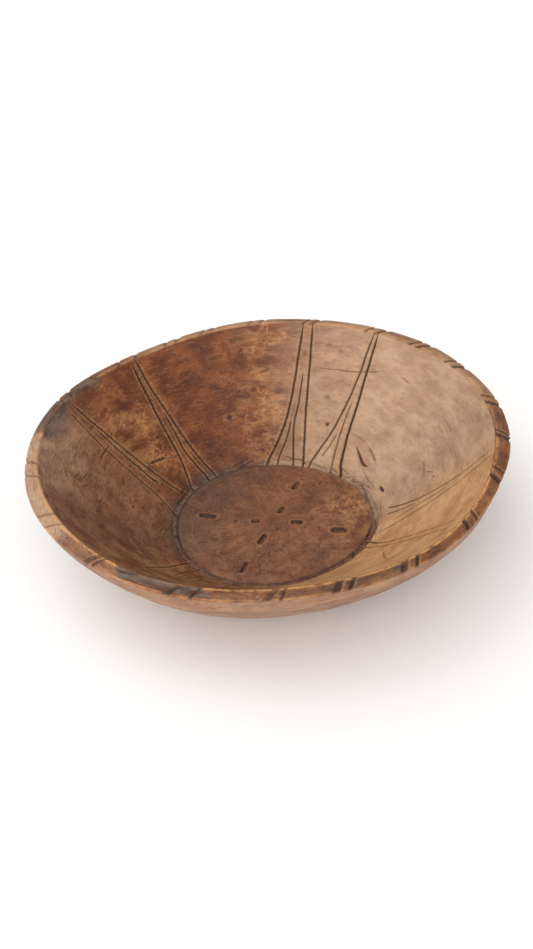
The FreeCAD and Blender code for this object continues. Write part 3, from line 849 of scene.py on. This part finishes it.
def add_bake_map(mesh, s, corners, sizes):
    """Two round maps side by side: the inside with the rim's top, and the outside. Each one spreads
    the profile's own length from its middle outward, so that no place is squeezed."""
    inside = np.concatenate([s.on(RIM, WALL, RING, FLOOR), [False, True]])
    theta = np.concatenate([s.theta, [0.0, 0.0]]) * RAD
    rows = profile()
    step = np.concatenate([[0.0], np.hypot(*np.diff(rows[:, :2], axis=0).T)])
    length = np.cumsum(step) + rows[0, 0]
    along = np.concatenate([np.repeat(length, s.counts), [0.0, length[-1] + rows[-1, 0]]])
    whole = length[-1] + rows[-1, 0]
    first_inside = np.flatnonzero(rows[:, 2] >= RIM)[0]
    border = (length[first_inside] + length[first_inside - 1]) / 2.0
    face_inside = inside[corners]
    owner = np.repeat(np.arange(len(sizes)), sizes)
    all_inside = np.ones(len(sizes), bool)
    np.logical_and.at(all_inside, owner, face_inside)
    use_inside = all_inside[owner]
    reach = np.where(use_inside, (whole - along[corners]) / (whole - border), along[corners] / border)
    middle = np.where(use_inside, 0.25, 0.75)
    u = middle + 0.243 * reach * np.cos(theta[corners])
    v = 0.5 + 0.486 * reach * np.sin(theta[corners])
    layer = mesh.uv_layers.new(name="OFBake")
    layer.data.foreach_set("uv", np.stack([u, v], 1).astype(np.float32).ravel())


# ---- material -------------------------------------------------------------------------------------
class Nodes:
    """A short way to write a node tree."""

    def __init__(self, material):
        self.tree = material.node_tree
        self.tree.nodes.clear()

    def add(self, kind, **settings):
        node = self.tree.nodes.new(kind)
        for key, value in settings.items():
            setattr(node, key, value)
        return node

    def join(self, source, target):
        self.tree.links.new(source, target)

    def put(self, socket, value):
        if isinstance(value, bpy.types.NodeSocket):
            self.join(value, socket)
        else:
            socket.default_value = value

    def maths(self, operation, a, b=0.0, clamp=False):
        node = self.add("ShaderNodeMath", operation=operation, use_clamp=clamp)
        self.put(node.inputs[0], a)
        self.put(node.inputs[1], b)
        return node.outputs[0]

    def times(self, a, b, clamp=False):
        return self.maths("MULTIPLY", a, b, clamp)

    def plus(self, a, b, clamp=False):
        return self.maths("ADD", a, b, clamp)

    def vector(self, operation, a, b=(0.0, 0.0, 0.0)):
        node = self.add("ShaderNodeVectorMath", operation=operation)
        self.put(node.inputs[0], a)
        self.put(node.inputs[1], b)
        return node.outputs

    def mix(self, share, a, b):
        node = self.add("ShaderNodeMix", data_type="RGBA")
        self.put(node.inputs["Factor"], share)
        self.put(node.inputs["A"], a)
        self.put(node.inputs["B"], b)
        return node.outputs["Result"]

    def noise(self, vector, scale, detail=3.0, roughness=0.55):
        node = self.add("ShaderNodeTexNoise", noise_dimensions="3D")
        self.put(node.inputs["Vector"], vector)
        self.put(node.inputs["Scale"], scale)
        self.put(node.inputs["Detail"], detail)
        self.put(node.inputs["Roughness"], roughness)
        return node.outputs["Fac"]

    def window(self, value, low, high, top=1.0):
        """0 below low, top above high, smooth between."""
        node = self.add("ShaderNodeMapRange", interpolation_type="SMOOTHSTEP")
        self.put(node.inputs["Value"], value)
        self.put(node.inputs["From Min"], low)
        self.put(node.inputs["From Max"], high)
        self.put(node.inputs["To Max"], top)
        return node.outputs["Result"]

    def masks(self, name):
        node = self.add("ShaderNodeAttribute", attribute_name=name)
        split = self.add("ShaderNodeSeparateColor")
        self.join(node.outputs["Color"], split.inputs["Color"])
        return split.outputs


def shade(red, green, blue):
    """An sRGB colour of 0 to 255 as the shader wants it."""
    linear = [(c / 255.0) ** 2.2 for c in (red, green, blue)]
    return (*linear, 1.0)


RED_BROWN, RED_BROWN_LIGHT = shade(87, 42, 18), shade(118, 64, 31)
OCHRE, OCHRE_LIGHT = shade(140, 94, 54), shade(174, 126, 80)
# ROSE, PALE and HONEY are partly painted light: the studio's sheen on the floor and walls, and the light on
# the walls that face the lamps.
ROSE, ROSE_LIGHT = shade(122, 80, 60), shade(152, 108, 84)
PALE, PALE_LIGHT = shade(160, 126, 101), shade(184, 151, 123)
HONEY, HONEY_LIGHT = shade(182, 130, 84), shade(206, 158, 112)


def wood_noises(n):
    """The wood's patterns, from broad to fine, as node sockets by name."""
    place = n.add("ShaderNodeTexCoord").outputs["Object"]
    # The block's straight grain runs along Y.
    grain_map = n.add("ShaderNodeMapping")
    n.join(place, grain_map.inputs["Vector"])
    grain_map.inputs["Scale"].default_value = (1.0, 0.16, 1.0)
    # Other marks run round the bowl: a place's direction counts little, and its distance fully.
    flat = n.vector("MULTIPLY", place, (1.0, 1.0, 0.0))["Vector"]
    part = n.add("ShaderNodeSeparateXYZ")
    n.join(n.vector("NORMALIZE", flat)["Vector"], part.inputs[0])
    around = n.add("ShaderNodeCombineXYZ")
    n.put(around.inputs["X"], n.times(part.outputs["X"], 0.045))
    n.put(around.inputs["Y"], n.times(part.outputs["Y"], 0.045))
    n.put(around.inputs["Z"], n.vector("LENGTH", flat)["Value"])
    around_place = around.outputs[0]
    fibre_place = n.vector("MULTIPLY", around_place, (0.45, 0.45, 1.0))["Vector"]
    return SimpleNamespace(
        clouds=n.noise(place, 60.0, 4.0),
        cracks=n.noise(place, 120.0, 3.0, 0.6),
        patches=n.noise(around_place, 110.0, 4.0, 0.6),
        blots=n.noise(around_place, 260.0, 4.0, 0.6),
        flecks=n.noise(around_place, 620.0, 3.0, 0.6),
        fibres=n.noise(fibre_place, 900.0, 3.0, 0.65),
        grain=n.noise(grain_map.outputs["Vector"], 1100.0, 3.0, 0.6),
        dust=n.noise(place, 2600.0, 2.0),
    )


def wood_masks(n):
    """The bowl's masks, as node sockets by name."""
    found = {}
    for layer_name, names in mask_layers():
        found.update(zip(names, n.masks(layer_name)))
    return SimpleNamespace(**found)


def zone_colour(n, m, t):
    """Red-brown wood, and the zones that are another colour. The rose, pale and honey zones are partly
    painted sheen and painted light.
    """
    colour = n.mix(n.window(t.clouds, 0.38, 0.64), RED_BROWN, RED_BROWN_LIGHT)
    golden = n.times(m.ochre, n.window(t.patches, 0.40, 0.60), True)
    colour = n.mix(golden, colour, n.mix(n.window(t.blots, 0.40, 0.62), OCHRE, OCHRE_LIGHT))
    rosy = n.mix(n.window(t.patches, 0.38, 0.62), ROSE, ROSE_LIGHT)
    colour = n.mix(n.times(m.rose, 0.80), colour, rosy)
    pale = n.mix(n.window(t.patches, 0.34, 0.66), PALE, PALE_LIGHT)
    colour = n.mix(n.times(m.pale, 0.95), colour, pale)
    honey = n.mix(n.window(t.patches, 0.38, 0.62), HONEY, HONEY_LIGHT)
    return n.mix(n.times(m.honey, 0.90), colour, honey)


def marked_colour(n, m, t, colour):
    """The same with its fine marks: dark dashes and pale veins in the darker wood, fibres and specks
    everywhere, then rubbed edges with painted highlights, scorching, and cuts whose dark is partly painted
    shade in the floor's slots."""
    calm = n.maths("SUBTRACT", 1.0, n.times(n.maths("MAXIMUM", m.pale, m.honey), 0.78))
    dashes = n.times(n.window(t.blots, 0.54, 0.61), n.times(calm, 0.72))
    colour = n.mix(dashes, colour, n.mix(0.60, colour, shade(58, 24, 14)))
    specks = n.times(n.window(t.flecks, 0.55, 0.64), n.times(calm, 0.42))
    colour = n.mix(specks, colour, n.mix(0.55, colour, shade(66, 34, 24)))
    colour = n.mix(n.times(m.spot, 0.62), colour, shade(84, 38, 24))
    crack = n.maths("ABSOLUTE", n.maths("SUBTRACT", t.cracks, 0.5))
    veins = n.times(n.window(crack, 0.05, 0.0), n.plus(n.times(m.ochre, 0.8), 0.25), True)
    veins = n.times(veins, n.window(t.clouds, 0.42, 0.60, 0.38))
    colour = n.mix(veins, colour, shade(206, 156, 112))
    grime = n.mix(t.fibres, shade(58, 42, 34), shade(80, 62, 52))
    colour = n.mix(n.times(m.dark, 0.80), colour, grime)
    light_fibre = n.mix(0.5, colour, shade(232, 190, 148))
    colour = n.mix(n.window(t.fibres, 0.52, 0.68, 0.16), colour, light_fibre)
    dark_fibre = n.mix(0.6, colour, shade(62, 30, 18))
    colour = n.mix(n.window(t.fibres, 0.47, 0.34, 0.30), colour, dark_fibre)
    grained = n.times(n.window(t.grain, 0.52, 0.66), n.plus(n.times(m.rose, 0.42), 0.12))
    colour = n.mix(grained, colour, shade(74, 38, 28))
    colour = n.mix(n.window(t.dust, 0.50, 0.70, 0.14), colour, shade(214, 176, 142))
    # Rubbed pale edges, and the painted highlights beside the notches and round the floor's slots.
    rubbed_and_highlit = n.times(m.wear, n.window(t.flecks, 0.30, 0.56))
    colour = n.mix(rubbed_and_highlit, colour, shade(206, 148, 92))
    burnt = n.mix(n.window(t.blots, 0.42, 0.62), shade(54, 48, 46), shade(104, 94, 86))
    colour = n.mix(n.times(m.scorch, 0.92), colour, burnt)
    # The cuts' dark: burnt notches and engraved lines, and in the floor's slots partly painted shade.
    return n.mix(n.times(m.cut, 0.94), colour, shade(40, 28, 26))


def wood_material():
    material = bpy.data.materials.new("carved_and_waxed_wood")
    material.use_nodes = True
    n = Nodes(material)
    t, m = wood_noises(n), wood_masks(n)

    rough = n.plus(n.window(t.clouds, 0.3, 0.7, 0.10), 0.42)
    rough = n.plus(rough, n.times(t.fibres, 0.10))
    rough = n.plus(rough, n.times(n.maths("MAXIMUM", m.cut, m.scorch), 0.25), True)

    height = n.plus(n.times(t.grain, 0.5), n.times(t.flecks, 1.0))
    height = n.plus(height, n.times(t.fibres, 0.5))
    height = n.plus(height, n.times(t.dust, 0.18))
    relief = n.add("ShaderNodeBump")
    relief.inputs["Strength"].default_value = 0.5
    relief.inputs["Distance"].default_value = 0.0006
    n.join(height, relief.inputs["Height"])

    shader = n.add("ShaderNodeBsdfPrincipled")
    n.join(marked_colour(n, m, t, zone_colour(n, m, t)), shader.inputs["Base Color"])
    n.join(rough, shader.inputs["Roughness"])
    n.join(relief.outputs["Normal"], shader.inputs["Normal"])
    shader.inputs["Specular IOR Level"].default_value = 0.28
    output = n.add("ShaderNodeOutputMaterial")
    n.join(shader.outputs["BSDF"], output.inputs["Surface"])
    return material


# ---- stage, light and camera ----------------------------------------------------------------------
def make_floor():
    bpy.ops.mesh.primitive_plane_add(size=60.0, location=(0.0, 0.0, -0.0001))
    floor = bpy.context.object
    floor.name = "studio_floor"
    material = bpy.data.materials.new("white_sweep")
    material.use_nodes = True
    shader = material.node_tree.nodes["Principled BSDF"]
    shader.inputs["Base Color"].default_value = (0.94, 0.935, 0.93, 1.0)
    shader.inputs["Roughness"].default_value = 0.9
    shader.inputs["Specular IOR Level"].default_value = 0.1
    floor.data.materials.append(material)
    floor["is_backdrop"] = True


def make_lights():
    world = bpy.data.worlds.new("studio")
    bpy.context.scene.world = world
    world.use_nodes = True
    back = world.node_tree.nodes["Background"]
    back.inputs["Color"].default_value = (1.0, 0.99, 0.98, 1.0)
    back.inputs["Strength"].default_value = 0.43

    def sun(name, azimuth, elevation, wide, strength, tint):
        data = bpy.data.lights.new(name, "SUN")
        data.energy, data.angle, data.color = strength, wide * RAD, tint
        lamp = bpy.data.objects.new(name, data)
        flat = math.cos(elevation * RAD)
        side, depth = math.cos(azimuth * RAD), math.sin(azimuth * RAD)
        toward = Vector((flat * side, flat * depth, math.sin(elevation * RAD)))
        lamp.rotation_euler = toward.to_track_quat("Z", "Y").to_euler()
        bpy.context.scene.collection.objects.link(lamp)

    sun("window", 145.0, 52.0, 60.0, 0.80, (0.93, 0.98, 1.0))
    sun("front_fill", 255.0, 50.0, 90.0, 1.8, (0.99, 0.97, 0.95))
    sun("low_fill", 265.0, 16.0, 70.0, 1.7, (1.0, 0.93, 0.87))


def make_camera():
    """At the viewer's height and distance, a little rolled, with the picture's middle on the axis."""
    elevation, roll = 34.09 * RAD, -4.55 * RAD
    distance, focal, long_side = 5.98, 1458.0, 949.0
    unit = RIM_R * MM
    cx, cy = rim_centre()
    origin = Vector((-cx * MM, -cy * MM, HEIGHT * MM))
    place = origin + Vector((0.0, -math.cos(elevation), math.sin(elevation))) * distance * unit
    target = origin + Vector((-0.0138, -0.2491, 0.0)) * unit
    forward = (target - place).normalized()
    right = forward.cross(Vector((0.0, 0.0, 1.0))).normalized()
    up = right.cross(forward)
    c, n = math.cos(roll), math.sin(roll)
    turned_right, turned_up = right * c + up * n, up * c - right * n
    data = bpy.data.cameras.new("camera")
    data.sensor_fit, data.sensor_width = "AUTO", 36.0
    data.lens = focal / long_side * data.sensor_width
    data.clip_start, data.clip_end = 0.05, 100.0
    camera = bpy.data.objects.new("camera", data)
    rows = Matrix((turned_right, turned_up, -forward)).transposed().to_4x4()
    camera.matrix_world = Matrix.Translation(place) @ rows
    bpy.context.scene.collection.objects.link(camera)
    bpy.context.scene.camera = camera


bpy.context.scene.view_settings.view_transform = "Standard"
make_camera()
make_floor()
make_lights()

bowl = make_bowl()
bowl.data.materials.append(wood_material())
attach(bowl, "root")
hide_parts("carved_bowl")

[[list(corner_point) for corner_point in pair] for pair in (cad_bounds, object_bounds())]
